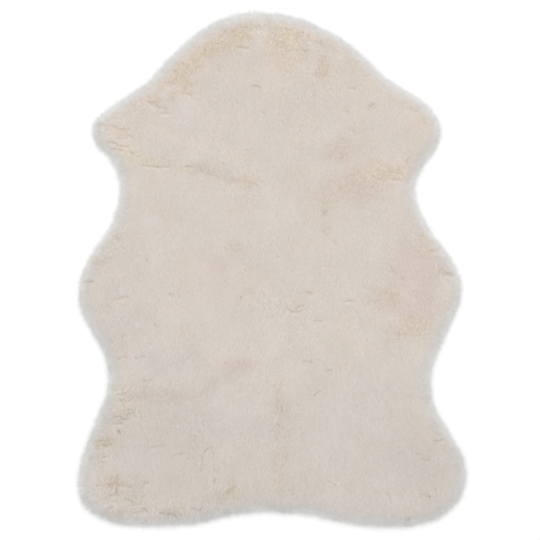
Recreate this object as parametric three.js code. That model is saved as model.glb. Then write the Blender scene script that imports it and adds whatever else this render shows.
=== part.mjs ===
// Faux fur rug in the outline of a small hide: one piece that lies flat, as tall and wide as its pile.
// Millimetres. The head end points to +Y and the pile to +Z, and the flat back lies on Z = 0.
import * as THREE from "three";

// Driving dimensions
const PILE_TOP = 18; // height of the pile's tips above the floor, where no fold parts them
const OUTLINE_STEP = 11; // longest step between two points of the outline
const SPINE_X = 0; // the middle line that the rows of the top run towards
const SPINE_LOW = -250;
const SPINE_HIGH = 290;

// The outline is a belt pulled tight round these circles, anticlockwise from the head. It runs round
// the far side of a lobe's circle, and bends inwards round a hollow's.
const OUTLINE = [
  { place: "head", bend: "lobe", x: -11, y: 207, radius: 192 },
  { place: "left neck", bend: "hollow", x: -297, y: 403, radius: 150 },
  { place: "left shoulder", bend: "lobe", x: -246, y: 216, radius: 33 },
  { place: "left waist", bend: "hollow", x: -335, y: 120, radius: 97 },
  { place: "left flank", bend: "lobe", x: -198, y: -34, radius: 101 },
  { place: "left loin", bend: "hollow", x: -351, y: -166, radius: 97 },
  { place: "left haunch", bend: "lobe", x: -225, y: -319, radius: 77 },
  { place: "left heel", bend: "lobe", x: -180, y: -51, radius: 346 },
  { place: "tail", bend: "hollow", x: -8, y: -675, radius: 300 },
  { place: "right heel", bend: "lobe", x: 172, y: -77, radius: 320 },
  { place: "right haunch", bend: "lobe", x: 227, y: -316, radius: 76 },
  { place: "right loin", bend: "hollow", x: 355, y: -175, radius: 107 },
  { place: "right flank", bend: "lobe", x: 212, y: -29, radius: 83 },
  { place: "right waist", bend: "hollow", x: 301, y: 120, radius: 76 },
  { place: "right shoulder", bend: "lobe", x: 206, y: 214, radius: 57 },
  { place: "right neck", bend: "hollow", x: 272, y: 392, radius: 130 },
  { place: "right cheek", bend: "lobe", x: 8, y: 212, radius: 179 },
];

// The edge's section, from the back's rim over the round shoulder of the pile: one ring for each row.
const EDGE_RINGS = [
  { inset: 7, height: 0 },
  { inset: 2, height: 2.5 },
  { inset: 0, height: 6.5 },
  { inset: 1.5, height: 11 },
  { inset: 6, height: 15 },
  { inset: 14, height: 17.3 },
  { inset: 26, height: PILE_TOP },
];

// How far the top's inner rows lie from the edge to the middle line, as shares of the way.
const ROW_SHARES = [0.22, 0.44, 0.64, 0.8, 0.9, 0.96];

// Lines that folding has left in the pile, each a soft trough that runs from one end to the other.
const FOLDS = [
  { place: "head fold", x1: -14, y1: 420, x2: -4, y2: 130, width: 26, depth: 1.8 },
  { place: "middle fold", x1: -4, y1: 130, x2: 6, y2: -420, width: 30, depth: 2.2 },
  { place: "left shoulder fold", x1: -230, y1: 128, x2: -4, y2: 152, width: 28, depth: 2 },
  { place: "right shoulder fold", x1: -4, y1: 152, x2: 220, y2: 140, width: 28, depth: 2 },
  { place: "left loin fold", x1: -270, y1: -196, x2: 4, y2: -178, width: 30, depth: 2.2 },
  { place: "right loin fold", x1: 4, y1: -178, x2: 270, y2: -190, width: 30, depth: 2.2 },
];

// Lobes turn left along the outline and hollows turn right, so a hollow's radius counts as negative.
function signedRadius(circle) {
  return circle.bend === "lobe" ? circle.radius : -circle.radius;
}

// The direction of the straight line that touches two neighbouring circles.
function touchingHeading(from, to) {
  const across = to.x - from.x;
  const along = to.y - from.y;
  const change = signedRadius(to) - signedRadius(from);
  const straight = Math.sqrt(across ** 2 + along ** 2 - change ** 2);
  return Math.atan2(along, across) - Math.atan2(change, straight);
}

// The outline's arcs: each circle with the heading where the belt meets it and its turn round it.
function outlineArcs(circles) {
  const count = circles.length;
  const headings = circles.map((circle, i) => touchingHeading(circle, circles[(i + 1) % count]));
  return circles.map((circle, i) => {
    const arriving = headings[(i + count - 1) % count];
    const fullTurn = 2 * Math.PI;
    const leftTurn = (((headings[i] - arriving) % fullTurn) + fullTurn) % fullTurn;
    const turn = circle.bend === "lobe" ? leftTurn : leftTurn - fullTurn;
    return { x: circle.x, y: circle.y, radius: signedRadius(circle), arriving, turn };
  });
}

// The outline moved inwards by an inset. Every inset gives the same number of points.
function outlineRing(arcs, inset) {
  const ring = [];
  for (const arc of arcs) {
    const steps = Math.max(2, Math.ceil(Math.abs(arc.turn * arc.radius) / OUTLINE_STEP));
    for (let step = 0; step <= steps; step += 1) {
      const heading = arc.arriving + (arc.turn * step) / steps;
      const reach = arc.radius - inset;
      ring.push(new THREE.Vector2(arc.x + reach * Math.sin(heading), arc.y - reach * Math.cos(heading)));
    }
  }
  return ring;
}

// A ring's points moved level towards the middle line, and at the two ends towards the line's end.
function rowTowardsSpine(ring, share) {
  return ring.map((point) => {
    const level = THREE.MathUtils.clamp(point.y, SPINE_LOW, SPINE_HIGH);
    return point.clone().lerp(new THREE.Vector2(SPINE_X, level), share);
  });
}

function distanceToFold(point, fold) {
  const start = new THREE.Vector2(fold.x1, fold.y1);
  const along = new THREE.Vector2(fold.x2, fold.y2).sub(start);
  const share = THREE.MathUtils.clamp(point.clone().sub(start).dot(along) / along.lengthSq(), 0, 1);
  return point.distanceTo(start.addScaledVector(along, share));
}

// How deep the nearest folds press the pile's top at a point.
function foldDepth(point) {
  const depths = FOLDS.map((fold) => fold.depth * Math.exp(-((distanceToFold(point, fold) / fold.width) ** 2)));
  return Math.max(...depths);
}

// All rings from the back's rim to the top's last row, as 3-D points.
function rugRings(arcs) {
  const edge = EDGE_RINGS.map(({ inset, height }) =>
    outlineRing(arcs, inset).map((point) => {
      const pressed = (foldDepth(point) * height) / PILE_TOP;
      return new THREE.Vector3(point.x, point.y, height - pressed);
    }),
  );
  const lastInset = EDGE_RINGS[EDGE_RINGS.length - 1].inset;
  const rows = ROW_SHARES.map((share) =>
    rowTowardsSpine(outlineRing(arcs, lastInset), share).map(
      (point) => new THREE.Vector3(point.x, point.y, PILE_TOP - foldDepth(point)),
    ),
  );
  return [...edge, ...rows];
}

// The triangles of a flat cap over one ring, with its points numbered from `first`.
function capFaces(ring, first, facesUp) {
  const flat = ring.map((point) => new THREE.Vector2(point.x, point.y));
  return THREE.ShapeUtils.triangulateShape(flat, []).map(([a, b, c]) =>
    facesUp ? [first + a, first + b, first + c] : [first + c, first + b, first + a],
  );
}

// One closed skin: the rings joined to each other, the back's cap and the narrow cap along the middle.
function rugGeometry() {
  const rings = rugRings(outlineArcs(OUTLINE));
  const count = rings[0].length;
  const faces = [];
  for (let low = 0; low < rings.length - 1; low += 1) {
    for (let i = 0; i < count; i += 1) {
      const next = (i + 1) % count;
      const a = low * count + i;
      const b = low * count + next;
      faces.push([a, b, b + count], [a, b + count, a + count]);
    }
  }
  const last = rings.length - 1;
  faces.push(...capFaces(rings[0], 0, false));
  faces.push(...capFaces(rings[last], last * count, true));
  const geometry = new THREE.BufferGeometry().setFromPoints(rings.flat());
  geometry.setIndex(faces.flat());
  geometry.computeVertexNormals();
  return geometry;
}

// The rug, with the origin on the floor under the middle of its length and width.
function buildRug() {
  const pile = new THREE.MeshStandardMaterial({ color: 0xd6ccc3, roughness: 0.95, metalness: 0 });
  const pelt = new THREE.Mesh(rugGeometry(), pile);
  pelt.name = "pelt";
  pelt.geometry.computeBoundingBox();
  const middle = pelt.geometry.boundingBox.getCenter(new THREE.Vector3());
  pelt.position.set(-middle.x, -middle.y, 0);
  const rug = new THREE.Group();
  rug.add(pelt);
  return rug;
}

export default buildRug();
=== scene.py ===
"""Looks of a hide-shaped faux fur rug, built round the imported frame.

The script works in metres in the frame's own axes: the head end points to +Y and the pile to +Z.
Tables are in millimetres, which MM turns into metres.
"""
import math

import bmesh
import bpy
import numpy as np
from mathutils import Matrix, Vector
from mathutils.kdtree import KDTree


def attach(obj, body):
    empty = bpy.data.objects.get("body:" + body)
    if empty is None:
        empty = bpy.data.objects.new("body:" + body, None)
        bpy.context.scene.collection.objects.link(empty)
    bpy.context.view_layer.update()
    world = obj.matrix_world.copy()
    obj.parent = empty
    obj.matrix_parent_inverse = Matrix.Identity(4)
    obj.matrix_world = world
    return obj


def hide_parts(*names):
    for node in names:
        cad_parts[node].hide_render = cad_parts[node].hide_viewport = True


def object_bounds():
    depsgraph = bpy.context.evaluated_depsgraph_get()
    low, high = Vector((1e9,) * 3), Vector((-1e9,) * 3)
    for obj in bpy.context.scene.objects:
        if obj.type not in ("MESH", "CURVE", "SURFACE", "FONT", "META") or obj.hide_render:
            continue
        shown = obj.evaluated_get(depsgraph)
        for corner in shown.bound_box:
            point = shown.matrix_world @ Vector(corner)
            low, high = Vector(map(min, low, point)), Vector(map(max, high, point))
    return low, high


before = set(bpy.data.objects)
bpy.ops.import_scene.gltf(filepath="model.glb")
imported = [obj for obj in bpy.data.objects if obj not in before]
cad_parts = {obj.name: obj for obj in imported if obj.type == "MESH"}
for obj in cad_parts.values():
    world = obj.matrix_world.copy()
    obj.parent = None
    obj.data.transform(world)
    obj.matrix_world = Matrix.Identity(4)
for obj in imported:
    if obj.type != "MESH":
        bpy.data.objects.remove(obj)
CAD_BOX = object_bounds()
CAD_LOW, CAD_HIGH = (np.array(corner) for corner in CAD_BOX)

bl_info = {
    "name": "Hide-Shaped Fur Rug",
    "version": (1, 0, 0),
    "blender": (4, 5, 0),
    "location": "3D View > Sidebar > Fur Rug",
    "description": "Builds the fur panel, its pile and the studio of a hide-shaped rug",
    "category": "Object",
}

MM = 0.001
UP = np.array([0.0, 0.0, 1.0])
NODE = "pelt"
BODY = "root"
OUTLINE_HEIGHT = 6.5 * MM  # where the frame's solid is widest
PILE_TOP = float(CAD_HIGH[2])

# The broad soft troughs in the pile, as straight stretches.
FOLDS = [
    # x1, y1, x2, y2, width, depth
    # Down the middle
    (-14, 420, -4, 130, 22, 1.0),
    (-4, 130, 6, -420, 26, 1.2),
    # Across the shoulders
    (-230, 128, -4, 152, 26, 1.1),
    (-4, 152, 220, 140, 26, 1.1),
    # Across the loins
    (-270, -196, 4, -178, 28, 1.2),
    (4, -178, 270, -190, 28, 1.2),
]

# The short partings, where locks part and the warmer underfur shows. Gap is half the bare strip's
# width, and dark is how much browner and deeper the locks beside it are, and how much painted
# shadow they take.
PARTINGS = [
    # x1, y1, x2, y2, gap, dark
    # Crown
    (-56, 340, -38, 340, 0.8, 0.3),
    (-29, 282, -19, 280, 0.8, 0.5),
    # Left brow
    (-116, 310, -108, 308, 0.7, 0.6),
    (-162, 286, -150, 284, 0.8, 0.5),
    (-139, 270, -127, 269, 0.7, 0.5),
    (-156, 268, -151, 261, 0.7, 0.4),
    (-189, 256, -177, 254, 0.9, 0.9),
    # Left cheek
    (-187, 252, -177, 249, 0.5, 0.35),
    (-178, 249, -162, 246, 0.6, 0.4),
    (-172, 240, -154, 239, 0.5, 0.12),
    # Left shoulder
    (-257, 223, -239, 217, 0.7, 0.4),
    (-236, 216, -225, 213, 0.9, 0.4),
    (-236, 202, -222, 201, 0.8, 0.4),
    (-221, 206, -211, 200, 0.7, 0.4),
    (-251, 196, -236, 192, 0.6, 0.4),
    (-233, 190, -221, 188, 0.6, 0.4),
    (-247, 186, -230, 183, 0.5, 0.4),
    (-223, 181, -211, 178, 0.6, 0.4),
    (-216, 177, -203, 172, 0.6, 0.4),
    # Chest, from the left armpit to the middle
    (-199, 160, -176, 156, 0.6, 0.15),
    (-176, 156, -158, 158, 0.5, 0.1),
    (-131, 158, -119, 157, 0.6, 0.2),
    (-66, 136, -50, 133, 0.6, 0.18),
    (-50, 133, -47, 122, 0.5, 0.25),
    # Neck, and the right of the crown
    (-16, 241, -10, 238, 0.5, 0.4),
    (44, 338, 50, 334, 0.8, 0.4),
    # Right cheek
    (114, 278, 128, 277, 0.6, 0.5),
    (112, 244, 119, 240, 0.8, 0.5),
    (149, 248, 156, 253, 0.9, 0.6),
    (156, 253, 161, 247, 0.7, 0.45),
    # Right shoulder and neck
    (212, 249, 221, 243, 0.9, 0.6),
    (233, 232, 235, 223, 0.6, 0.5),
    (119, 216, 128, 211, 0.6, 0.3),
    # Right waist
    (178, 151, 202, 146, 0.7, 0.35),
    (150, 144, 164, 138, 0.6, 0.28),
    (184, 139, 199, 137, 0.5, 0.32),
    (205, 164, 212, 174, 0.7, 0.6),
    # Ribs
    (139, 96, 150, 90, 0.5, 0.2),
    (150, 90, 156, 79, 0.4, 0.15),
    (79, 86, 88, 93, 0.9, 0.6),
    (78, 58, 85, 53, 0.8, 0.5),
    (94, 43, 99, 40, 0.7, 0.4),
    # Right flank
    (183, 3, 188, -4, 0.7, 0.4),
    (182, -4, 191, -5, 0.6, 0.35),
    (256, -9, 268, -6, 1.6, 0.45),
    (268, -6, 283, -10, 1.6, 0.45),
    (198, -15, 202, -16, 0.8, 0.6),
    # Belly, right of the middle
    (50, -35, 63, -36, 0.5, 0.4),
    (111, -50, 127, -48, 0.5, 0.25),
    # The star of seven strokes in the middle of the belly
    (14, -72, 22, -59, 0.5, 0.35),
    (22, -59, 31, -65, 0.6, 0.3),
    (31, -65, 45, -65, 0.5, 0.22),
    (35, -60, 47, -55, 0.5, 0.4),
    (31, -47, 36, -53, 0.6, 0.3),
    (21, -54, 28, -43, 0.4, 0.2),
    (27, -67, 26, -78, 0.4, 0.2),
    # Belly, below the star and on the left
    (65, -79, 76, -80, 0.9, 0.7),
    (-159, -39, -151, -40, 0.9, 0.6),
    # Left flank
    (-194, 18, -190, 13, 0.9, 0.5),
    (-241, 50, -235, 44, 0.6, 0.35),
    (-232, 36, -225, 30, 0.6, 0.35),
    (-255, 19, -246, 17, 0.6, 0.35),
    (-276, 10, -267, 8, 0.7, 0.5),
    (-286, -20, -275, -18, 0.7, 0.6),
    (-242, -46, -220, -42, 0.5, 0.25),
    (-254, -54, -247, -58, 0.7, 0.5),
    (-181, -84, -176, -88, 0.7, 0.6),
    (-191, -114, -185, -115, 0.9, 0.6),
    (-210, -135, -206, -135, 0.6, 0.6),
    (-201, -134, -195, -133, 0.9, 0.6),
    (-231, -103, -226, -100, 0.6, 0.6),
    (-236, -136, -224, -134, 0.6, 0.6),
    # Left loin
    (-198, -171, -194, -170, 0.8, 0.6),
    (-188, -170, -184, -168, 0.9, 0.6),
    (-236, -192, -227, -189, 1.0, 0.35),
    (-235, -202, -231, -203, 1.0, 0.35),
    (-225, -224, -212, -219, 0.9, 0.4),
    (-241, -226, -228, -228, 0.6, 0.28),
    (-236, -232, -221, -229, 0.6, 0.28),
    (-246, -238, -230, -236, 0.5, 0.28),
    # Left haunch
    (-236, -247, -232, -250, 0.8, 0.8),
    (-263, -262, -253, -264, 0.6, 0.5),
    (-257, -271, -247, -269, 0.6, 0.5),
    (-258, -287, -251, -286, 0.6, 0.5),
    (-198, -283, -186, -273, 0.4, 0.15),
    (-186, -273, -165, -270, 0.4, 0.15),
    (-153, -286, -136, -282, 0.6, 0.3),
    # The arch left of the tail, from its left foot to its right one
    (-108, -308, -107, -288, 0.4, 0.6),
    (-107, -288, -103, -277, 0.6, 0.7),
    (-103, -277, -94, -272, 0.7, 0.8),
    (-94, -272, -90, -282, 0.6, 0.7),
    (-90, -282, -89, -291, 0.4, 0.6),
    (-90, -299, -88, -308, 0.6, 0.7),
    # Below the arch
    (-88, -319, -86, -325, 0.9, 0.9),
    (-76, -296, -72, -298, 0.8, 0.7),
    # Left heel, with a star of four strokes
    (-236, -314, -241, -325, 0.7, 0.9),
    (-252, -331, -239, -328, 0.8, 0.9),
    (-239, -332, -214, -334, 0.6, 0.6),
    (-239, -335, -238, -344, 1.0, 1.2),
    (-269, -330, -258, -333, 0.6, 0.6),
    (-249, -347, -238, -345, 0.7, 0.7),
    (-262, -352, -236, -357, 0.5, 0.25),
    (-224, -363, -202, -360, 0.5, 0.25),
    (-214, -373, -190, -371, 0.5, 0.3),
    (-226, -353, -214, -356, 0.7, 0.7),
    (-196, -327, -190, -328, 0.6, 0.5),
    (-201, -350, -195, -346, 0.6, 0.5),
    (-256, -371, -247, -365, 0.7, 0.7),
    # Hem, from the left heel to the tail
    (-199, -368, -193, -368, 0.8, 0.7),
    (-173, -374, -165, -374, 0.7, 0.7),
    (-159, -375, -147, -378, 1.2, 0.8),
    (-144, -384, -140, -391, 1.0, 0.6),
    (-124, -366, -111, -371, 0.7, 0.35),
    (-112, -371, -108, -364, 0.6, 0.5),
    (-67, -343, -64, -336, 0.5, 0.5),
    (-76, -377, -68, -373, 0.9, 0.6),
    # Tail
    (8, -195, 8, -214, 0.5, 0.45),
    (14, -203, 15, -222, 0.5, 0.45),
    (20, -289, 22, -294, 0.7, 0.6),
    # Right loin
    (83, -155, 92, -155, 0.8, 0.55),
    (48, -140, 61, -142, 0.4, 0.3),
    (64, -194, 73, -187, 0.6, 0.3),
    # Right flank, low
    (194, -101, 205, -98, 0.7, 0.45),
    (214, -91, 225, -81, 0.6, 0.4),
    # Right haunch
    (248, -262, 272, -262, 0.6, 0.6),
    (221, -283, 230, -285, 0.6, 0.6),
    (228, -291, 241, -293, 0.6, 0.6),
    # Right heel and hem
    (231, -345, 243, -348, 1.0, 0.8),
    (226, -343, 229, -350, 0.7, 0.6),
    (176, -344, 182, -349, 0.7, 0.6),
    (205, -386, 212, -381, 0.9, 0.6),
    (85, -325, 98, -333, 0.6, 0.25),
]

# The soft patches where the pile is browner or cooler, pinker, lighter or darker. Each is an oval.
PATCHES = [
    # x, y, half length, half width, turn in degrees, warm, rosy, tone
    # Left brow and cheek
    (-55, 352, 36, 14, 22, 0.75, 0, 0.03),
    (-98, 332, 18, 12, 45, 0.7, 0, -0.004),
    (-131, 309, 30, 17, 38, 0.8, 0, 0.012),
    (-150, 289, 27, 10, 18, 0.65, 0, 0.016),
    (-183, 257, 10, 8, 0, 1.0, 0, 0.01),
    (-162, 262, 22, 7, 12, 0.4, 0, -0.01),
    (-212, 252, 17, 8, 10, 0.16, 0, 0.018),
    (-128, 276, 26, 13, 20, 0.5, 0, 0.012),
    # Crown
    (18, 353, 36, 14, 6, 0.7, 0, 0.022),
    (40, 364, 11, 9, 0, 0.45, 0, -0.05),
    (48, 342, 8, 14, 0, 0.3, 0, 0),
    (-20, 358, 13, 26, 0, -0.35, 0, 0.034),
    (30, 352, 8, 9, 0, -0.15, 0, 0.05),
    (22, 324, 30, 32, 0, 0.4, 0.1, 0.026),
    # Right temple and cheek
    (78, 306, 11, 21, 0, 0.62, 0.25, -0.002),
    (82, 351, 28, 9, -22, 0.15, 0, -0.02),
    (150, 296, 46, 13, -42, 0, 0, 0.02),
    # Shoulders and left armpit
    (214, 238, 18, 13, 0, 0.05, 0, 0.008),
    (233, 216, 9, 13, 0, 0.2, 0.45, 0.036),
    (-232, 214, 11, 7, 0, 0.6, 0, -0.01),
    (-238, 202, 26, 26, 0, 0.1, 0, 0.042),
    (-222, 178, 24, 12, -15, 0.3, 0, 0.014),
    (-188, 161, 34, 8, 0, 0.38, 0.08, 0.03),
    # Chest, neck and waist
    (-113, 150, 28, 11, 0, 0.3, 0.6, -0.004),
    (-44, 132, 27, 9, -4, 0.35, 0.38, 0.006),
    (130, 126, 56, 27, 12, 0.34, 1.1, -0.008),
    (101, 180, 24, 19, 0, 0.32, 0.95, -0.004),
    (172, 146, 46, 17, 0, 0.48, 1.0, 0.018),
    (207, 163, 10, 22, -15, 0.42, 0.9, 0.045),
    (-214, 126, 11, 24, 0, 0, 0, 0.024),
    # Ribs and belly, and the tan line at the right flank's edge
    (268, -6, 14, 4, 3, 0.9, 0, -0.03),
    (80, 92, 9, 18, 0, 0.42, 0.08, 0.014),
    (82, 60, 8, 12, 0, 0.52, 0.08, 0.01),
    (-58, 32, 13, 8, 0, 0.3, 0.82, 0.004),
    (-80, 4, 13, 18, 0, 0.05, 1.2, -0.012),
    (-38, -33, 9, 8, 0, 0.3, 0.6, 0),
    (-50, -46, 8, 6, 0, 0.6, 0.88, 0),
    # Left flank
    (-262, 10, 18, 16, 30, 0.12, 0, -0.012),
    (-240, 38, 16, 20, 0, 0, 0, 0.012),
    (-268, -62, 18, 22, -20, 0, 0, 0.008),
    (-226, -84, 30, 24, 0, -0.22, 0, -0.014),
    (-229, -122, 10, 20, 0, 0.1, 0, -0.012),
    # Right flank
    (240, 36, 12, 22, 0, 0.6, 0.15, 0.03),
    (222, -22, 45, 70, 0, 0.12, 1.3, -0.018),
    (212, -89, 36, 17, 8, 0.45, 0.3, 0.012),
    (172, -50, 34, 18, 0, 0.36, 0.45, -0.004),
    # Loins
    (-221, -198, 15, 22, 10, 0.4, 0, 0.03),
    (-226, -224, 26, 8, 12, 0.45, 0, -0.002),
    (-50, -148, 28, 12, 0, 0.12, 1.09, -0.02),
    # Pinker here, and darker with painted shadow along the loins' fold
    (-170, -197, 75, 11, 2, 0.12, 0.68, -0.028),
    # Left haunch and heel
    (-257, -267, 17, 11, 8, 0.95, 0, -0.02),
    (-268, -298, 16, 11, -20, 0.1, 0, -0.036),
    (-243, -329, 14, 9, 0, 0.6, 0, 0.016),
    (-226, -338, 34, 22, -12, 0.2, 0, -0.02),
    # Hem and tail
    (-152, -376, 17, 9, 0, 0.5, 0, -0.026),
    (-234, -377, 9, 6, 0, 0.2, 0, -0.048),
    (-63, -339, 9, 17, 0, 0.7, 0, 0),
    (-66, -350, 34, 13, 0, 0.25, 0, -0.022),
    (6, -333, 13, 22, 0, 0.25, 0, 0.008),
    (10, -212, 16, 13, 0, 0.25, 0, 0.004),
    (12, -250, 15, 90, 0, 0.2, 0.08, -0.012),
    # Right haunch, heel and hem
    (238, -232, 16, 26, 0, 0, 0, 0.012),
    (264, -265, 18, 14, 0, 0.22, 0, 0.04),
    (277, -306, 12, 24, 0, 0, 0, 0.016),
    (262, -352, 22, 10, 0, 0.05, 0, 0.004),
    (100, -338, 46, 18, 0, 0.05, 0, -0.008),
    (190, -362, 48, 12, 4, -0.1, 0, -0.008),
    # Cooler ones, from the cheek to the heel
    (-132, 236, 22, 22, 0, -0.15, 0.15, 0.012),
    (-162, 268, 13, 5, 10, -0.6, 1.09, 0.024),
    (-184, 72, 14, 9, 0, -0.25, 0.15, 0),
    (-232, -32, 13, 9, 0, -0.3, 0.15, -0.016),
    (-160, -142, 58, 20, 0, -0.22, 0.22, -0.028),
    (-204, -294, 44, 24, 0, -0.25, 0, -0.014),
    (-36, -238, 80, 46, 0, -0.15, 0.22, 0.004),
    (135, -262, 68, 98, 0, -0.13, 0.15, 0),
    (222, -306, 52, 42, 0, -0.1, 0.15, -0.014),
    # Broad and faint ones, darker or lighter
    (-100, 222, 46, 40, 0, -0.05, 0.08, -0.012),
    (-92, -10, 40, 44, 0, 0, 0.25, -0.006),
    (-180, -250, 110, 100, 0, 0, 0, -0.02),
    (240, -300, 60, 80, 0, 0, 0.08, -0.022),
    # Painted shadow along the loins' fold where it rises towards the middle, a little pinker
    (-72, -169, 42, 10, 28, 0.1, 0.15, -0.04),
    # Painted shade: the whole tail end darker, as if less light reached it from the key
    (0, -290, 330, 130, 0, 0, 0, -0.028),
    (-235, -140, 44, 52, 0, 0, 0, -0.016),
    (0, 290, 100, 42, 0, 0, 0, 0.014),
    (192, -190, 44, 100, 0, 0, 0, -0.014),
    (-228, -30, 66, 76, 0, 0, 0, -0.012),
    (-52, -74, 26, 20, 0, 0, 0, -0.02),
    # Painted shadow along the left shoulder's fold, and the light band above it
    (-155, 158, 50, 9, -8, 0.1, 0.08, 0),
    (-80, 143, 48, 8, -12, 0.1, 0.08, -0.018),
    (-120, 193, 80, 13, -14, -0.05, 0, 0.026),
]

# Round places at the edge where the fur reaches further out or less far, where its cool border is
# wider or narrower, and where that border is lighter or darker.
EDGE_PLACES = [
    # x, y, radius, extra reach, extra border, tone
    # Head end, from the crown to the right neck
    (-40, 397, 24, 2.6, 1.5, -0.018),
    (6, 394, 26, -0.6, 2.6, -0.03),
    (73, 376, 32, -1.8, 1.2, -0.035),
    (172, 299, 25, -2.4, 0.8, 0),
    # Right side, from the shoulder to the haunch
    (247, 243, 19, -2.8, 1.5, 0.01),
    (242, 174, 26, 0.4, -6.0, 0),
    (221, 131, 22, -2.1, -2.4, 0),
    (229, 88, 18, 0.6, -0.5, 0.02),
    (254, 48, 24, -1.8, -1.6, 0.015),
    (278, 12, 20, -1.2, -2.0, 0.02),
    (272, -86, 30, 0.2, -1.8, -0.01),
    (266, -242, 34, 1.2, -1.6, 0.012),
    (297, -330, 24, -1.4, 1.6, -0.01),
    # Tail end, from the right heel to the left one
    (270, -372, 20, -1.2, -1.5, 0.03),
    (211, -395, 22, 3.1, 1.4, -0.01),
    (158, -396, 26, 0.8, 3.0, 0.01),
    (60, -379, 24, -2.2, 3.0, 0.035),
    (16, -375, 14, 1.4, 2.0, -0.045),
    (-18, -373, 18, 0.3, 0, 0.04),
    (-112, -390, 34, 1.6, -2.6, -0.03),
    (-195, -395, 36, 0, -4.0, -0.02),
    (-252, -388, 18, -1.8, -3.6, -0.025),
    (-293, -361, 21, 3.6, 3.6, 0.01),
    # Left side, from the haunch to the brow
    (-301, -307, 20, -2.0, 1.6, 0),
    (-276, -240, 36, 0.9, 0, 0.01),
    (-274, -100, 28, 0, -2.6, 0),
    (-298, -52, 28, 1.7, 0.8, 0),
    (-284, 18, 30, -0.3, -8.0, 0.01),
    (-256, 60, 24, -1.0, -5.0, 0.02),
    (-238, 134, 27, -2.0, -1.6, 0.02),
    (-226, 266, 22, 0, 0.4, -0.03),
    (-268, 189, 15, 3.4, -6.0, 0),
    (-276, 214, 16, 0.4, 4.6, 0),
    (-264, 240, 13, -1.5, 2.2, 0.01),
    (-186, 299, 38, -2.3, 2.4, -0.012),
    (-140, 347, 16, -1.4, 0.8, -0.015),
    (-80, 386, 28, 1.5, 0.6, -0.03),
]

# Partings
PARTING_HOLD = 0.95  # share of the way by which a tip is held back from crossing a parting
PARTING_LONGEST = 7 * MM  # the furthest that a tip is held back
PARTING_REACH = 12 * MM  # how far past a parting's ends a tip may still be held back
PARTING_FADE = 1.5 * MM  # how softly a parting ends
PARTING_WANDER = 1.1 * MM  # how far a parting strays from a straight line
PARTING_COVER = 0.6 * MM  # how much wider one along the nap is kept, where locks cover more of it
PARTING_ROOTS = 0.4 * MM  # how much wider the shade is at the roots than at the tips
PARTING_LIP = 2 * MM  # held back this far, a tip stands fully in the lip beside a parting
PARTING_SINK = 1.5 * MM  # how far the tips in a parting sink
LIP_RISE = 0.6 * MM  # how much higher the lip stands
# Painted shadow that darkens the roots and tips in partings and between tufts
PARTING_SHADE = 0.62  # how much darker a bared root is

# The panel and the pile's top
PELT_ROUND = 14 * MM  # how far in from its edge the panel is rounded
PELT_EDGE = 0.45  # share of its height that the panel keeps at its edge
PILE_ROUND = 24 * MM  # how far in from the outline the pile's top is rounded
PILE_EDGE = 0.42  # share of its height that the pile keeps there
FACES_DOWN = -0.9  # a face whose normal's Z is below this belongs to the back
BODY_WARM = 0.25  # share of tan all over the rug
BODY_RUFFLE = 0.35  # how ruffled the pile is outside the patches
TONE_STEP = 0.025  # a step in lightness that just shows
TONE_SPREAD = 0.013  # how much locks beside each other differ in lightness
LIGHT_LOCKS = 0.12  # share of the locks that are a step lighter

# The top's locks
STRIPS = ("pile_left_side", "pile_left_middle", "pile_right_middle", "pile_right_side")
TOP_INSET = 11 * MM  # how far inside the outline they start
TOP_OVER = 1.5 * MM  # how far a tip may stand above the frame's solid
TIP_SINK = 0.6 * MM  # how much lower the pile between ridges stands than the solid
ROOT_SINK = 0.7 * MM  # how deep a root stands in the underfur
NAP_SPREAD = 12  # degrees by which locks differ from the nap round them
ROLL_OUTER = 10 * MM  # up to here inside the outline, locks lean wholly outwards
ROLL_INNER = 34 * MM  # from here on, they lean wholly along the nap

# The rim's locks. They stand on an ellipse round a line inside the outline, at angles that run from
# the outline up to the top.
RIM_CORE = 17 * MM  # how far inside the outline that line lies
RIM_BELOW = 6.3 * MM  # how far the tips' ellipse reaches down from it
RIM_ROOTS = (9 * MM, 5 * MM, 3 * MM)  # how far the roots' ellipse reaches out, up and down
RIM_COMB = (16, 7)  # degrees from a lock's tip up to its root, and how much they vary
RIM_SHARE = (0.765, 0.24)  # length of a lock as a share of the ellipse, and how much it varies
RIM_ASTRAY = 1.6 * MM  # how far the tips stray to the side
RIM_DROOP = 0.4 * MM  # how far the nap draws the tips to -Y
RIM_WIDTH = 0.7 * MM
RIM_LOWEST = -50  # degrees to the lowest tip
RIM_SWEEP = 135  # degrees from the lowest tip to the highest
RIM_HIGHEST = 95  # degrees to the highest root
# The cool colour is painted light from the white floor and backdrop; it fades on locks that turn
# under
RIM_COOL_TO = math.radians(-12)  # below this angle the cool colour fades
RIM_WARM_FROM = math.radians(-36)  # and from here down little of it is left

# The edge's colours, with painted cool light at the border and painted shade on the hem
COOL_REACH = 19 * MM  # how far in from the outline the cool border reaches
COOL_HAZE = 0.14  # share of its colour that the pile just inside it takes on
HAZE_FADE = (16 * MM, 36 * MM)  # that haze fades between these distances from the outline
# Painted shade on the hem, which faces away from the key light
HEM_SHADE = 0.04  # how much darker the edge that faces -Y is
HEM_FADE = (14 * MM, 44 * MM)  # where that shade fades
BLOTCH_FADE = (5 * MM, 14 * MM)  # where the light and dark blotches of the border fade
RING_SHADE = 0.03  # how much darker the faint ring inside the border is
RING_PLACE = (13 * MM, 5.5 * MM)  # how far in its middle lies, and how far it spreads

# The studio
FLOOR_SIZE = 12.0
FLOOR_COLOUR = (0.88, 0.88, 0.88)
FLOOR_GLOW = 0.26  # lifts the floor to white where the camera sees it
KEY_PLACE = (0.03, 0.75, 2.6)
KEY_SIZE = 1.6
CAMERA_PLACE = (-0.0032, -0.0013)  # the middle of the view, a little off the rug's own
CAMERA_LENS = 100.0


# --- The rug's plan ---


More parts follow.
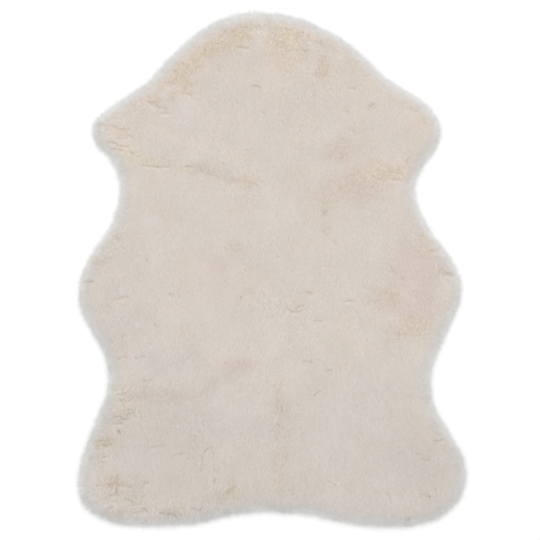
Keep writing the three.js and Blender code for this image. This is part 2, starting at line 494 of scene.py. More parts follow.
def smoothstep(low, high, value):
    share = np.clip((value - low) / (high - low), 0, 1)
    return share * share * (3 - 2 * share)


def bell(away):
    """1 where a distance is 0, falling to nothing past about 2."""
    return np.exp(-(away**2))


def unit(vectors):
    return vectors / np.maximum(np.linalg.norm(vectors, axis=-1, keepdims=True), 1e-9)


def left_of(directions):
    """Flat directions turned by a quarter to their left."""
    return np.stack([-directions[:, 1], directions[:, 0]], 1)


def point_tree(flat):
    """A tree that finds the nearest of these flat points."""
    tree = KDTree(len(flat))
    for index, (x, y) in enumerate(flat):
        tree.insert((x, y, 0), index)
    tree.balance()
    return tree


def nearest(tree, flat):
    """Number of the tree's point that lies nearest to each flat point."""
    return np.array([tree.find((x, y, 0))[1] for x, y in flat])


def value_noise(points, cell, seed):
    """Smooth noise from -1 to 1 at flat points, from one random number at each corner of a grid."""
    side = 512
    lattice = np.random.default_rng(seed).uniform(-1, 1, (side, side))
    scaled = points / cell + side / 2
    corner = np.floor(scaled).astype(int)
    share = scaled - corner
    share = share * share * (3 - 2 * share)
    x, y = (corner % (side - 1)).T
    low = lattice[x, y] * (1 - share[:, 0]) + lattice[x + 1, y] * share[:, 0]
    high = lattice[x, y + 1] * (1 - share[:, 0]) + lattice[x + 1, y + 1] * share[:, 0]
    return low * (1 - share[:, 1]) + high * share[:, 1]


def noises(points, *layers):
    """Sum of noises, each given as its strength, its size in millimetres and its seed."""
    return sum(strength * value_noise(points, size * MM, seed) for strength, size, seed in layers)


def drift(points, size, seed):
    """Smooth moves from -1 to 1 in X and Y, from two noises of this size in millimetres."""
    return np.stack([noises(points, (1, size, seed)), noises(points, (1, size, seed + 1))], 1)


class Outline:
    """The frame's outline as close points with their outward directions."""

    step = 1.0 * MM
    smooth_steps = 10  # points to each side that a point's outward direction is averaged over

    def __init__(self):
        self.points = self.resampled(self.cut_loop())
        ahead = np.roll(self.points, -1, 0) - np.roll(self.points, 1, 0)
        outward = unit(np.stack([ahead[:, 1], -ahead[:, 0]], 1))
        x, y = self.points.T
        area = 0.5 * np.sum(x * np.roll(y, -1) - np.roll(x, -1) * y)
        near = range(-self.smooth_steps, self.smooth_steps + 1)
        outward = unit(np.sum([np.roll(outward, shift, 0) for shift in near], axis=0))
        self.outward = outward if area > 0 else -outward
        self.area = abs(area)
        self.points = self.points + self.outward * edge_effect(self.points)[0][:, None]
        self.tree = point_tree(self.points)

    @staticmethod
    def cut_loop():
        """The corners of the solid's level section, in order round the rug."""
        solid = bmesh.new()
        solid.from_mesh(bpy.data.objects[NODE].data)
        bmesh.ops.remove_doubles(solid, verts=solid.verts, dist=1e-6)
        everything = solid.verts[:] + solid.edges[:] + solid.faces[:]
        bmesh.ops.bisect_plane(
            solid,
            geom=everything,
            plane_co=(0, 0, OUTLINE_HEIGHT),
            plane_no=(0, 0, 1),
            clear_inner=True,
            clear_outer=True,
        )
        bmesh.ops.remove_doubles(solid, verts=solid.verts, dist=1e-5)
        solid.verts.ensure_lookup_table()
        vertex = solid.verts[0]
        edge = vertex.link_edges[0]
        loop = []
        while True:
            loop.append(vertex.co.xy[:])
            vertex = edge.other_vert(vertex)
            if vertex.index == 0:
                break
            edge = next(other for other in vertex.link_edges if other is not edge)
        solid.free()
        return np.array(loop)

    @classmethod
    def resampled(cls, loop):
        closed = np.vstack([loop, loop[:1]])
        along = np.concatenate([[0], np.cumsum(np.linalg.norm(np.diff(closed, axis=0), axis=1))])
        places = np.linspace(0, along[-1], int(along[-1] / cls.step), endpoint=False)
        return np.stack([np.interp(places, along, closed[:, axis]) for axis in (0, 1)], 1)

    def measure(self, flat):
        """How far inside the outline each flat point lies, and its outward direction there."""
        near = nearest(self.tree, flat)
        outward = self.outward[near]
        inside = np.sum((self.points[near] - flat) * outward, axis=1)
        return inside, outward


def fold_depth(flat):
    """How deep the folds press the pile at each flat point."""
    depth = np.zeros(len(flat))
    for x1, y1, x2, y2, width, deep in FOLDS:
        start = np.array([x1, y1]) * MM
        along = np.array([x2, y2]) * MM - start
        share = np.clip((flat - start) @ along / (along @ along), 0, 1)
        away = np.linalg.norm(flat - (start + share[:, None] * along), axis=1)
        depth = np.maximum(depth, deep * MM * bell(away / (width * MM)))
    return depth


def beside(places, start, ahead, span):
    """1 for places beside a parting, and less past its ends."""
    along = (places - start) @ ahead
    past = np.maximum(np.maximum(-along, along - span), 0)
    return bell(past / PARTING_FADE)


def part_locks(root, flat_tip):
    """Holds back the tips that would cross a parting.

    Gives each tip's new place, how deep in a parting each lock's root and tip lie, from 0 to 1, and
    how much each tip is part of the lip that stands beside a parting.
    """
    flat_tip = flat_tip.copy()
    deep_root, deep_tip, lip = np.zeros((3, len(root)))
    wander = PARTING_WANDER * drift(root, 5, 41)
    broken = 0.72 + 0.45 * value_noise(root, 3 * MM, 43)
    for x1, y1, x2, y2, gap, dark in PARTINGS:
        start = np.array([x1, y1]) * MM
        run = np.array([x2, y2]) * MM - start
        span = math.hypot(*run)
        ahead = run / span
        across = np.array([-ahead[1], ahead[0]])
        away = np.linalg.norm(flat_tip - start - run / 2, axis=1)
        near = np.nonzero(away < span / 2 + PARTING_REACH)[0]
        root_away = (root[near] + wander[near] - start) @ across
        tip_away = (flat_tip[near] + wander[near] - start) @ across
        side = np.where(root_away < 0, -1.0, 1.0)
        wide = gap * MM + PARTING_COVER * abs(ahead[1])
        short = np.clip(wide - side * tip_away, 0, PARTING_LONGEST) * PARTING_HOLD
        short *= beside(flat_tip[near], start, ahead, span)
        flat_tip[near] += across * (side * short)[:, None]
        tip_away += side * short
        seen = dark * broken[near]
        root_seen = seen * beside(root[near], start, ahead, span)
        tip_seen = seen * beside(flat_tip[near], start, ahead, span)
        in_root = root_seen * bell(root_away / (wide + PARTING_ROOTS))
        deep_root[near] = np.maximum(deep_root[near], in_root)
        deep_tip[near] = np.maximum(deep_tip[near], tip_seen * bell(tip_away / wide))
        lip[near] = np.maximum(lip[near], seen * np.clip(short / PARTING_LIP, 0, 1))
    return flat_tip, deep_root, deep_tip, lip


def patch_effect(flat):
    """How warm, rosy, light and ruffled the soft patches make the pile at each flat point."""
    flat = flat + 4.5 * MM * drift(flat, 13, 31) + 2.0 * MM * drift(flat, 5, 33)
    speckle = np.clip(0.75 + 0.9 * value_noise(flat * (0.6, 1.0), 3.2 * MM, 35), 0, 1.8)
    warm, rosy, tone, ruffled = np.zeros((4, len(flat)))
    for x, y, half_length, half_width, turn, warmer, rosier, lighter in PATCHES:
        angle = math.radians(turn)
        ahead = np.array([math.cos(angle), math.sin(angle)])
        across = np.array([-ahead[1], ahead[0]])
        away = flat - np.array([x, y]) * MM
        distance = np.hypot(away @ ahead / (half_length * MM), away @ across / (half_width * MM))
        share = 1 - smoothstep(0.35, 1.45, distance)
        warm += warmer * share * (speckle if warmer > 0 else 1)
        rosy += rosier * share
        tone += lighter * share
        ruffled = np.maximum(ruffled, share * np.clip(warmer, 0, 0.8) / 0.8)
    return warm, rosy, tone, ruffled


def edge_effect(flat):
    """At each flat point, how much further out the fur reaches, its wider border, and its tone."""
    effect = np.zeros((3, len(flat)))
    for x, y, radius, reach, border, tone in EDGE_PLACES:
        away = np.linalg.norm(flat - np.array([x, y]) * MM, axis=1) / (radius * MM)
        effect += np.outer([reach * MM, border * MM, tone], bell(away))
    return effect


# --- Meshes ---


def new_piece(name, vertices, faces):
    mesh = bpy.data.meshes.new(name)
    mesh.vertices.add(len(vertices))
    mesh.vertices.foreach_set("co", vertices.astype(np.float32).ravel())
    mesh.loops.add(faces.size)
    mesh.loops.foreach_set("vertex_index", faces.astype(np.int32).ravel())
    mesh.polygons.add(len(faces))
    mesh.polygons.foreach_set("loop_start", np.arange(0, faces.size, 3, dtype=np.int32))
    mesh.update(calc_edges=True)
    mesh.polygons.foreach_set("use_smooth", np.ones(len(faces), bool))
    piece = bpy.data.objects.new(name, mesh)
    bpy.context.collection.objects.link(piece)
    return piece


def add_attribute(piece, name, values):
    layer = piece.data.attributes.new(name, "FLOAT", "POINT")
    layer.data.foreach_set("value", values.astype(np.float32))


# A lock is a slim closed thorn: two points across its root, one under it, and its tip.
LOCK_FACES = np.array([(0, 1, 3), (1, 2, 3), (2, 0, 3), (0, 2, 1)])
LOCK_ALONG = np.array([0.0, 0.0, 0.8, 1.0])
LOCK_OWN_NORMAL = 0.3  # share of its own direction, not the rug's, by which a lock is lit
# A lock keeps most of the edge's painted cool light on its upper side
LOCK_UNDER_RIM = 0.2  # share of the edge's cool colour that a lock keeps on its underside
LOCK_UV = np.array([(0.06, 0.06), (0.94, 0.06), (0.5, 0.2), (0.5, 0.94)])


def lock_mesh(name, root, tip, width, facing, flats):
    """Joins one lock for each root and tip into a piece.

    facing is the way that the pile faces at each lock. flats holds the attributes, each with a
    value for every lock's root and one for its tip.
    """
    count = len(root)
    run = tip - root
    side = unit(np.cross(run, facing))
    front = unit(np.cross(side, run))
    wide = width[:, None]
    corners = [root - side * wide / 2, root + side * wide / 2, root - front * wide * 0.5, tip]
    vertices = np.stack(corners, 1)
    points = len(corners)
    faces = LOCK_FACES[None] + points * np.arange(count)[:, None, None]
    piece = new_piece(name, vertices.reshape(-1, 3), faces.reshape(-1, 3))
    add_attribute(piece, "along", np.tile(LOCK_ALONG, count))
    for label, (at_root, at_tip) in flats.items():
        under = at_root * (LOCK_UNDER_RIM if label == "rim" else 1)
        add_attribute(piece, label, np.stack([at_root, at_root, under, at_tip], 1).ravel())
    cells = math.ceil(math.sqrt(count))
    cell = np.stack(np.divmod(np.arange(count), cells), 1)
    uv = (cell[:, None] + LOCK_UV[None]) / cells
    layer = piece.data.uv_layers.new(name="OFBake")
    layer.data.foreach_set("uv", uv.reshape(-1, 2)[faces.reshape(-1)].astype(np.float32).ravel())
    first, second, third = (vertices[:, LOCK_FACES[:, corner]] for corner in range(3))
    normals = unit(np.cross(second - first, third - first))
    own = LOCK_OWN_NORMAL
    normals[:, 0] = unit(front * own + facing * (1 - own))
    normals = np.repeat(normals[:, :, None], 3, 2)
    piece.data.normals_split_custom_set(normals.reshape(-1, 3))
    return piece


# --- Materials ---


class Wire:
    """An output of a shader node. Arithmetic on it adds Math nodes."""

    def __init__(self, shader, socket):
        self.shader = shader
        self.socket = socket

    def math(self, operation, *values):
        inputs = dict(enumerate(values))
        return self.shader.add("ShaderNodeMath", {"operation": operation}, inputs)

    def __add__(self, other):
        return self.math("ADD", self, other)

    def __radd__(self, other):
        return self.math("ADD", other, self)

    def __sub__(self, other):
        return self.math("SUBTRACT", self, other)

    def __rsub__(self, other):
        return self.math("SUBTRACT", other, self)

    def __mul__(self, other):
        return self.math("MULTIPLY", self, other)

    def __rmul__(self, other):
        return self.math("MULTIPLY", other, self)

    def __pow__(self, other):
        return self.math("POWER", self, other)


class Shader:
    """One material's nodes."""

    def __init__(self, name, owner=None):
        self.material = owner or bpy.data.materials.new(name)
        self.material.use_nodes = True
        self.tree = self.material.node_tree
        self.tree.nodes.clear()

    def add(self, kind, settings=None, inputs=None, output=0):
        """Adds a node, sets it up, fills its sockets and returns one of its outputs."""
        node = self.tree.nodes.new(kind)
        for name, value in (settings or {}).items():
            setattr(node, name, value)
        for name, value in (inputs or {}).items():
            if isinstance(value, Wire):
                self.tree.links.new(value.socket, node.inputs[name])
            else:
                node.inputs[name].default_value = value
        return Wire(self, node.outputs[output]) if len(node.outputs) else None

    def attribute(self, name):
        return self.add("ShaderNodeAttribute", {"attribute_name": name}, output="Fac")

    def mix(self, share, first, second, blend="MIX"):
        settings = {"data_type": "RGBA", "blend_type": blend}
        return self.add("ShaderNodeMix", settings, {0: share, 6: first, 7: second}, output=2)

    def noise(self, size, stretch):
        """Noise on the rug's own axes, with features about this many metres wide."""
        place = self.add("ShaderNodeTexCoord", output="Object")
        scale = [1.0 / (size * share) for share in stretch]
        mapped = self.add("ShaderNodeMapping", None, {"Vector": place, "Scale": scale})
        inputs = {"Vector": mapped, "Scale": 1.0, "Detail": 2.0}
        return self.add("ShaderNodeTexNoise", None, inputs)

    def bump(self, height, distance, strength):
        inputs = {"Height": height, "Distance": distance, "Strength": strength}
        return self.add("ShaderNodeBump", None, inputs)

    def principled(self, base, roughness, specular, others):
        """A surface. others holds the rest of its sockets by name."""
        inputs = {"Base Color": base, "Roughness": roughness, "Specular IOR Level": specular}
        return self.add("ShaderNodeBsdfPrincipled", None, {**inputs, **others})

    def finish(self, surface):
        self.add("ShaderNodeOutputMaterial", None, {"Surface": surface})
        return self.material


def colour(values):
    return (*values, 1.0)


def seen_directly(shader):
    """1 where the camera sees the surface, also in a gloss or through glass, and 0 elsewhere."""
    path = "ShaderNodeLightPath"
    seen = shader.add(path, output="Is Camera Ray")
    seen = seen.math("MAXIMUM", seen, shader.add(path, output="Is Glossy Ray"))
    return seen.math("MAXIMUM", seen, shader.add(path, output="Is Transmission Ray"))


def pile_material():
    """Locks: tan at the root and cream at the tip, with painted cool light where they roll over the
    edge and painted shadow at the roots in partings and between tufts.
    """
    looks = bpy.context.scene.rug_looks
    shader = Shader("brushed_pile")
    along = shader.attribute("along")
    body = shader.mix(along**looks.root_reach, colour(looks.root), colour(looks.tip))
    pink = shader.mix(shader.attribute("rosy"), body, colour(looks.rosy))
    # Roots in partings and between tufts turn tan and take a painted shadow that fades up the lock
    bare_and_shadow = shader.attribute("bare_and_shadow") * (1 - along) ** looks.bare_reach
    warmed = shader.mix(shader.attribute("warm") + bare_and_shadow, pink, colour(looks.tan))
    # Painted cool light where the locks roll over the edge
    cooled = shader.mix(shader.attribute("rim"), warmed, colour(looks.rim))
    tone = shader.attribute("tone") - PARTING_SHADE * bare_and_shadow
    grey = shader.add("ShaderNodeCombineColor", None, {0: tone, 1: tone, 2: tone})
    toned = shader.mix(1.0, cooled, grey, "MULTIPLY")
    sheen = {"Sheen Weight": 0.15, "Sheen Roughness": 0.5}
    return shader.finish(shader.principled(toned, 0.9, 0.1, sheen))


def underfur_material():
    """The dense short fibres between the locks."""
    looks = bpy.context.scene.rug_looks
    shader = Shader("underfur")
    grain = shader.noise(0.8 * MM, stretch=(1.0, 5.0, 1.0))
    body = shader.mix(grain, colour(looks.deep), colour(looks.root))
    bump = shader.bump(grain, 0.4 * MM, 0.6)
    return shader.finish(shader.principled(body, 0.95, 0.1, {"Normal": bump}))


def back_material():
    """The plain knitted back: fine ribs of loops."""
    looks = bpy.context.scene.rug_looks
    shader = Shader("knitted_back")
    place = shader.add("ShaderNodeTexCoord", output="Object")
    ribs = shader.add(
        "ShaderNodeTexWave",
        {"wave_type": "BANDS", "bands_direction": "X"},
        {"Vector": place, "Scale": 160.0, "Distortion": 0.6, "Detail": 1.0},
    )
    body = shader.mix(ribs, colour(looks.root), colour(looks.back))
    bump = shader.bump(ribs, 0.3 * MM, 0.7)
    return shader.finish(shader.principled(body, 0.9, 0.2, {"Normal": bump}))


# --- Settings ---


def number(name, description, default, **limits):
    return bpy.props.FloatProperty(name=name, description=description, default=default, **limits)


def length(name, description, default):
    return number(name, description, default, min=0.0, unit="LENGTH", precision=4)


def shade(name, description, default):
    limits = {"subtype": "COLOR", "size": 3, "min": 0.0, "max": 1.0}
    return bpy.props.FloatVectorProperty(
        name=name, description=description, default=default, **limits
    )


class RugPelt(bpy.types.PropertyGroup):
    """Sizes of the fur panel under the pile's tips."""

    inset: length("Inset", "How far the panel's edge lies inside the pile's", 9 * MM)
    top: length("Height", "Height of the dense underfur above the floor", 13.8 * MM)
    fade: length("Fade", "How far in from the edge the inset dies out", 45 * MM)


class RugPile(bpy.types.PropertyGroup):
    """Sizes of the pile's locks."""

    spacing: length("Spacing", "Distance between neighbouring locks", 1.53 * MM)
    width: length("Width", "Width of a lock at its root", 2.3 * MM)
    run: length("Run", "How far a lock's tip lies from its root along the nap", 5.5 * MM)
    clump: length("Clump", "Distance between the tufts that tips gather in", 4.3 * MM)
    ruffle: length("Ruffle", "How much higher a tuft's ridge stands than its sides", 1.2 * MM)
    relief: number("Relief", "How far a tuft's sides turn from its ridge", 0.42, min=0.0)
    # The lines between tufts are browner and also carry painted shadow
    border: number("Border", "How brown the lines between tufts are", 0.23, min=0.0)
    rim_count: bpy.props.IntProperty(
        name="Rim locks", description="Number of locks round the edge", default=48000, min=1000
    )


class RugLooks(bpy.types.PropertyGroup):
    """Colours of the fur."""

    tip: shade("Tip", "Colour of the pile's tips", (0.945, 0.899, 0.868))
    root: shade("Root", "Colour between the locks", (0.89, 0.825, 0.76))
    deep: shade("Deep", "Colour at the bottom of the pile", (0.78, 0.69, 0.60))
    tan: shade("Tan", "Colour of the warm patches", (0.89, 0.80, 0.68))
    rosy: shade("Rosy", "Colour of the pink patches", (0.93, 0.845, 0.82))
    # The rim colour is painted cool light, the cast of the white floor and backdrop on the rolled
    # edge
    rim: shade("Rim", "Colour of the pile that rolls over the edge", (0.93, 0.93, 0.92))
    back: shade("Back", "Colour of the knitted back", (0.70, 0.64, 0.57))
    root_reach: number("Root reach", "How far the root's colour climbs the lock", 0.8, min=0.1)
    bare_reach: number(
        "Bare reach", "How fast a bared root's shade fades up the lock", 1.5, min=0.1
    )


class RugStudio(bpy.types.PropertyGroup):
    """Light, floor and camera."""

    key_power: number("Key light", "Power of the large soft light", 24.0, unit="POWER")
    sky: number("Sky", "Strength of the even light", 0.808)
    margin: length("Margin", "Bare floor in view past each end of the rug", 16 * MM)


SETTINGS = {
    "rug_pelt": RugPelt,
    "rug_pile": RugPile,
    "rug_looks": RugLooks,
    "rug_studio": RugStudio,
}


# --- Pieces ---


def ride_rug(piece):
    """Lets a piece ride on the rug's body."""
    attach(piece, BODY)


def pelt_height(inside, depth):
    """Height of the underfur's skin at a distance inside the outline."""
    pelt = bpy.context.scene.rug_pelt
    rise = 1 - (1 - np.clip((inside - pelt.inset) / PELT_ROUND, 0, 1)) ** 2
    share = PELT_EDGE + (1 - PELT_EDGE) * np.sqrt(np.clip(rise, 0, 1))
    return pelt.top * share - depth * 0.8


def pile_height(inside, depth):
    """Height of the pile's tips at a distance inside the outline."""
    rise = 1 - (1 - np.clip(inside / PILE_ROUND, 0, 1)) ** 2.6
    return PILE_TOP * (PILE_EDGE + (1 - PILE_EDGE) * rise**0.6) - depth


class RUG_OT_pelt(bpy.types.Operator):
    """Make the fur panel: the knitted back and the dense underfur on it"""

    bl_idname = "rug.pelt"
    bl_label = "Fur Panel"

    def execute(self, context):
        pelt = context.scene.rug_pelt
        outline = Outline()
        bpy.ops.object.select_all(action="DESELECT")
        panel = bpy.data.objects[NODE].copy()
        panel.data = panel.data.copy()
        panel.data.materials.clear()
        for key in list(panel.keys()):
            del panel[key]
        panel.name = "fur_panel"
        panel.data.name = "fur_panel"
        context.collection.objects.link(panel)
        context.view_layer.objects.active = panel
        panel.select_set(True)
        bpy.ops.object.mode_set(mode="EDIT")
        bpy.ops.mesh.select_all(action="SELECT")
        bpy.ops.mesh.remove_doubles(threshold=1e-5)
        bpy.ops.object.mode_set(mode="OBJECT")
        places = np.array([vertex.co[:] for vertex in panel.data.vertices])
        inside, outward = outline.measure(places[:, :2])
        pull = pelt.inset * (1 - np.clip(inside / pelt.fade, 0, 1))
        places[:, :2] -= outward * pull[:, None]
        places[:, 2] *= pelt.top / PILE_TOP
        panel.data.vertices.foreach_set("co", places.astype(np.float32).ravel())
        subdivide = panel.modifiers.new("Smooth", "SUBSURF")
        subdivide.levels = 1
        bpy.ops.object.modifier_apply(modifier=subdivide.name)
        bpy.ops.object.shade_smooth()
        panel.data.materials.append(underfur_material())
        panel.data.materials.append(back_material())
        for face in panel.data.polygons:
            face.material_index = int(face.normal.z < FACES_DOWN)
        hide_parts(NODE)
        ride_rug(panel)
        return {"FINISHED"}


def scattered(spacing, seed):
    """Points of a staggered grid over the rug's box, each moved a little at random."""
    rng = np.random.default_rng(seed)
    columns = np.arange(CAD_LOW[0], CAD_HIGH[0], spacing)
    rows = np.arange(CAD_LOW[1], CAD_HIGH[1], spacing * math.sqrt(0.75))
    x, y = np.meshgrid(columns, rows)
    x[1::2] += spacing / 2
    grid = np.stack([x, y], -1).reshape(-1, 2)
    return grid + rng.uniform(-0.5, 0.5, grid.shape) * spacing


def gathered(flat, spacing, seed):
    """The middle of the tuft that each flat point belongs to."""
    centres = scattered(spacing, seed)
    return centres[nearest(point_tree(centres), flat)]


def edge_colour(tip_inside, outward, flat):
    """Share of the rim's cool pale colour at each tip, and how much darker the edge is there.

    The cool colour is painted light, the cast of the white floor and backdrop on the rolled edge,
    and it fades inwards unevenly. The hem, which faces -Y, away from the key light, is darker than
    the
    rest: painted shade.
    """
    hem = np.clip(-outward[:, 1], 0, 1)
    uneven = noises(flat, (3.5 * MM, 10, 61), (2.5 * MM, 3, 62))
    _, wider, lighter = edge_effect(flat)
    cool_light = 1 - smoothstep(0, 1, (tip_inside + uneven) / (COOL_REACH + wider))
    cool_light += COOL_HAZE * (1 - cool_light) * (1 - smoothstep(*HAZE_FADE, tip_inside))
    # Painted shade on the hem, which faces away from the key light
    darker = HEM_SHADE * hem * (1 - smoothstep(*HEM_FADE, tip_inside + uneven))
    blotchy = noises(flat, (0.03, 3.2, 63), (0.03, 9, 64), (0.03, 24, 65))
    darker += (blotchy - lighter) * (1 - smoothstep(*BLOTCH_FADE, tip_inside))
    middle, spread = RING_PLACE
    darker += RING_SHADE * bell((tip_inside - middle) / spread)
    return cool_light, darker


def leaning(root, inside, outward, reach, rng):
    """Leans each lock along the nap, and outwards where the pile rolls to the edge.

    Gives its heading, its tip's flat place, and how much it takes part in that roll.
    """
    turn = np.radians(noises(root, (14, 90, 11), (16, 12, 12)))
    turn += np.radians(rng.normal(0, NAP_SPREAD, len(root)))
    nap = np.stack([np.sin(turn), -np.cos(turn)], 1)
    roll = 1 - smoothstep(ROLL_OUTER, ROLL_INNER, inside)
    heading = nap * (1 - roll)[:, None] + outward * (roll * 1.3)[:, None]
    run = reach * rng.uniform(0.7, 1.25, len(root)) * (1 + 0.35 * roll)
    return heading, root + heading * run[:, None], roll


def tufting(root, heading, ruffled, spacing, rng):
    """Draws the locks together in tufts, each with a ridge along its middle.

    Gives how far each tip moves, which way the lock's side of the tuft faces, how high the lock
    stands on it, and how near it is to the line between tufts.
    """
    ahead = unit(heading)
    across = left_of(ahead)
    offset = root - gathered(root, spacing, 4)
    sideways, onward = np.sum(offset * across, axis=1), np.sum(offset * ahead, axis=1)
    pull = ruffled * rng.uniform(0.1, 0.7, len(root))
    move = across * (sideways * pull)[:, None] + ahead * (0.6 * onward * pull)[:, None]
    radius = spacing / 2
    slope = np.clip(sideways / radius, -1, 1) * ruffled
    drop = np.clip(onward / radius, -1, 1) * ruffled
    border = smoothstep(0.6, 1.3, np.hypot(sideways, onward) / radius) * ruffled
    faces = across * slope[:, None] + ahead * drop[:, None]
    return -move, faces, 0.5 * ruffled - slope**2 - 0.6 * drop**2, border


def body_colour(root, warm, tone, patchy, rng):
    """Adds the tan and the light that vary all over the pile to those of the patches."""
    grain = rng.uniform(0, 1, len(root))
    warm = np.where(warm > 0, warm * (0.65 + 0.7 * grain), warm) + BODY_WARM
    warm += noises(root, (0.07, 45, 21), (0.08, 9, 22))
    spread = rng.normal(0, TONE_SPREAD, len(root))
    tone = tone + (1 + spread + 0.012 * value_noise(root, 30 * MM, 15))
    light = rng.uniform(0, 1, len(root)) < LIGHT_LOCKS
    return warm, tone + (patchy * (TONE_STEP - 2 * TONE_STEP * grain) + TONE_STEP * light)


class RUG_OT_pile(bpy.types.Operator):
    """Make the pile on the rug's top, as joined locks in four strips from side to side"""

    bl_idname = "rug.pile"
    bl_label = "Pile"

    def execute(self, context):
        pile = context.scene.rug_pile
        outline = Outline()
        rng = np.random.default_rng(7)
        root = scattered(pile.spacing, 3)
        inside, outward = outline.measure(root)
        kept = inside > TOP_INSET
        root, inside, outward = root[kept], inside[kept], outward[kept]
        count = len(root)
        heading, flat_tip, roll = leaning(root, inside, outward, pile.run, rng)
        warm, rosy, tone, patchy = patch_effect(flat_tip)
        ruffled = np.clip(patchy + BODY_RUFFLE + 0.2 * value_noise(root, 40 * MM, 23), 0, 1)
        move, tuft_faces, ridge, border = tufting(root, heading, ruffled, pile.clump, rng)
        flat_tip, deep_root, deep_tip, lip = part_locks(root, flat_tip + move)
        tip_inside, tip_outward = outline.measure(flat_tip)

        height = pile_height(tip_inside, fold_depth(flat_tip)) - TIP_SINK
        height += noises(root, (0.4 * MM, 26, 13), (0.3 * MM, 7, 14))
        height += rng.normal(0, 0.2 * MM, count)
        height += pile.ruffle * ridge
        height += LIP_RISE * lip - deep_tip * PARTING_SINK
        tip = np.column_stack([flat_tip, np.minimum(height, PILE_TOP + TOP_OVER)])
        base = np.column_stack([root, pelt_height(inside, fold_depth(root)) - ROOT_SINK])
        width = pile.width * rng.uniform(0.75, 1.2, count)
        lean = outward * roll[:, None] * 0.35 + tuft_faces * pile.relief
        facing = unit(np.column_stack([lean, np.ones(count)]))

        warm, tone = body_colour(root, warm, tone, patchy, rng)
        # Random tone in the ruffled pile, and a painted highlight on the lip's tips beside a
        # parting
        tone += TONE_STEP * ruffled * value_noise(root, 2.5 * MM, 16) + TONE_STEP * lip
        # Lines between tufts and roots in partings turn browner and take painted shadow
        lines = pile.border * border * (0.55 + 0.6 * patchy) * (1 - 0.7 * roll)
        bare_and_shadow = np.maximum(deep_root, lines)
        # Painted cool light at the edge, and in darker the hem's painted shade with the edge's
        # tones
        cool_light, darker = edge_colour(tip_inside, tip_outward, flat_tip)
        tone -= darker
        # Tips in a parting turn browner and take painted shadow
        flats = {
            "tone": (tone, tone - 0.25 * PARTING_SHADE * deep_tip),
            "warm": (np.clip(warm, 0, 1.2), np.clip(warm + 0.2 * deep_tip, 0, 1.2)),
            "bare_and_shadow": (bare_and_shadow, bare_and_shadow),
            "rosy": (rosy, rosy),
            "rim": (cool_light, cool_light),
        }

        material = pile_material()
        order = np.argsort(root[:, 0], kind="stable")
        for name, strip in zip(STRIPS, np.array_split(order, len(STRIPS))):
            strip = np.sort(strip)
            own = {label: (low[strip], high[strip]) for label, (low, high) in flats.items()}
            piece = lock_mesh(name, base[strip], tip[strip], width[strip], facing[strip], own)
            piece.data.materials.append(material)
            ride_rug(piece)
        return {"FINISHED"}


class RUG_OT_rim(bpy.types.Operator):
    """Make the finer locks that roll over the rug's edge down to the floor"""

    bl_idname = "rug.rim"
    bl_label = "Rim"

    def execute(self, context):
        pile = context.scene.rug_pile
        outline = Outline()
        rng = np.random.default_rng(9)
        count = pile.rim_count
        spot = (np.arange(count) + rng.uniform(0, 1, count)) * len(outline.points) / count
        spot = spot.astype(int) % len(outline.points)
        edge, outward = outline.points[spot], outline.outward[spot]
        tangent = left_of(outward)
        edge = edge + tangent * rng.uniform(-0.5, 0.5, count)[:, None] * outline.step
        middle = np.column_stack([edge - outward * RIM_CORE, np.full(count, OUTLINE_HEIGHT)])
        out = np.column_stack([outward, np.zeros(count)])
        sideways = np.column_stack([tangent, np.zeros(count)])

        def on_ellipse(angle, reach, above, below):
            rise = np.where(angle > 0, above, below) * np.sin(angle)
            return middle + out * (reach * np.cos(angle))[:, None] + UP * rise[:, None]

        angle = np.radians(RIM_LOWEST + RIM_SWEEP * rng.uniform(0, 1, count) ** 0.8)
        comb = np.radians(rng.normal(*RIM_COMB, count))
        base = on_ellipse(np.minimum(angle + comb, math.radians(RIM_HIGHEST)), *RIM_ROOTS)
        tufted = value_noise(np.column_stack([spot * outline.step, 0 * spot]), 6 * MM, 51)
        share = np.clip(rng.normal(*RIM_SHARE, count) + 0.03 * tufted, 0.35, 1.5)
        high = PILE_TOP - OUTLINE_HEIGHT
        tip = on_ellipse(angle, RIM_CORE * share, high * share, RIM_BELOW * np.minimum(share, 1))
        tip += sideways * rng.normal(0, RIM_ASTRAY, count)[:, None]
        tip[:, 1] -= RIM_DROOP
        width = RIM_WIDTH * rng.uniform(0.7, 1.3, count)
        tip_inside, _ = outline.measure(tip[:, :2])
        warm, rosy, tone, _ = patch_effect(tip[:, :2])
        warm = np.clip(warm + BODY_WARM, 0, 1.3)
        _, _, deep_tip, _ = part_locks(tip[:, :2], tip[:, :2])
        # Rim tips in a parting take painted shadow
        tone += 1 + rng.normal(0, 0.02, count) - 0.5 * PARTING_SHADE * deep_tip
        # Painted cool light at the edge, and in darker the hem's painted shade with the edge's
        # tones
        cool_light, darker = edge_colour(tip_inside, outward, tip[:, :2])
        tone -= darker
        # The painted cool light fades on the locks below the widest line
        cool_light *= 1 - 0.9 * smoothstep(RIM_COOL_TO, RIM_WARM_FROM, angle)
        values = {"tone": tone, "warm": warm, "bare_and_shadow": 0 * tone, "rosy": rosy, "rim": cool_light}
        flats = {label: (value, value) for label, value in values.items()}
        facing = unit(out * (0.45 * np.cos(angle))[:, None] + UP)
        piece = lock_mesh("pile_rim", base, tip, width, facing, flats)
        piece.data.materials.append(bpy.data.materials["brushed_pile"])
        ride_rug(piece)
        return {"FINISHED"}


class RUG_OT_declare(bpy.types.Operator):
    """Work out the area inside the frame's outline, which nothing then uses"""

    bl_idname = "rug.declare"
    bl_label = "Cloth Size"

    def execute(self, context):
        Outline().area
        return {"FINISHED"}


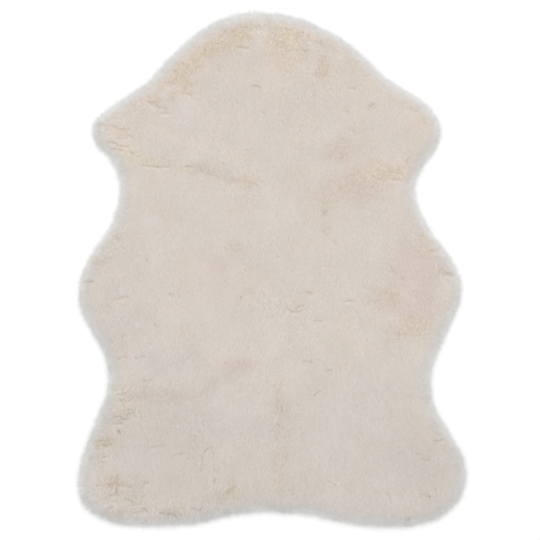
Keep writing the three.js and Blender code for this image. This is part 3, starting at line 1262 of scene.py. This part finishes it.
class RUG_OT_studio(bpy.types.Operator):
    """Make the floor, the lights and the camera that looks straight down"""

    bl_idname = "rug.studio"
    bl_label = "Studio"

    def execute(self, context):
        studio = context.scene.rug_studio
        self.make_floor()
        self.make_sky(context, studio)
        self.make_key(studio)
        self.make_camera(context, studio)
        context.scene.view_settings.view_transform = "Standard"
        return {"FINISHED"}

    @staticmethod
    def make_floor():
        bpy.ops.mesh.primitive_plane_add(size=FLOOR_SIZE, location=(0, 0, 0))
        floor = bpy.context.active_object
        floor.name = "floor"
        shader = Shader("white_floor")
        glow = {
            "Emission Color": colour((1.0, 1.0, 1.0)),
            "Emission Strength": seen_directly(shader) * FLOOR_GLOW,
        }
        surface = shader.principled(colour(FLOOR_COLOUR), 0.9, 0.0, glow)
        floor.data.materials.append(shader.finish(surface))

    @staticmethod
    def make_sky(context, studio):
        world = bpy.data.worlds.new("studio_sky")
        context.scene.world = world
        sky = Shader("studio_sky", world)
        strength = seen_directly(sky) * (1.0 - studio.sky) + studio.sky
        background = sky.add("ShaderNodeBackground", None, {"Strength": strength})
        sky.add("ShaderNodeOutputWorld", None, {"Surface": background})

    @staticmethod
    def make_key(studio):
        lamp = bpy.data.lights.new("key", "AREA")
        lamp.shape = "SQUARE"
        lamp.size = KEY_SIZE
        lamp.energy = studio.key_power
        key = bpy.data.objects.new("key", lamp)
        key.location = KEY_PLACE
        key.rotation_euler = (-Vector(key.location)).to_track_quat("-Z", "Y").to_euler()
        bpy.context.collection.objects.link(key)

    @staticmethod
    def make_camera(context, studio):
        lens = bpy.data.cameras.new("camera")
        lens.lens = CAMERA_LENS
        camera = bpy.data.objects.new("camera", lens)
        view = float(CAD_HIGH[1] - CAD_LOW[1]) + 2 * studio.margin
        camera.location = (*CAMERA_PLACE, PILE_TOP + view * lens.lens / lens.sensor_width)
        context.collection.objects.link(camera)
        context.scene.camera = camera


OPERATORS = (RUG_OT_pelt, RUG_OT_pile, RUG_OT_rim, RUG_OT_declare, RUG_OT_studio)


class RUG_PT_panel(bpy.types.Panel):
    """Lists the rug's steps and settings"""

    bl_idname = "RUG_PT_panel"
    bl_label = "Fur Rug"
    bl_space_type = "VIEW_3D"
    bl_region_type = "UI"
    bl_category = "Fur Rug"

    def draw(self, context):
        for operator in OPERATORS:
            self.layout.operator(operator.bl_idname)
        for name, group in SETTINGS.items():
            box = self.layout.box()
            for label in group.__annotations__:
                box.prop(getattr(context.scene, name), label)


CLASSES = (*SETTINGS.values(), *OPERATORS, RUG_PT_panel)


def register():
    for group in CLASSES:
        bpy.utils.register_class(group)
    for name, group in SETTINGS.items():
        setattr(bpy.types.Scene, name, bpy.props.PointerProperty(type=group))


def unregister():
    for name in SETTINGS:
        delattr(bpy.types.Scene, name)
    for group in reversed(CLASSES):
        bpy.utils.unregister_class(group)


def main():
    register()
    bpy.ops.rug.pelt()
    bpy.ops.rug.pile()
    bpy.ops.rug.rim()
    bpy.ops.rug.declare()
    bpy.ops.rug.studio()


if __name__ == "__main__":
    main()
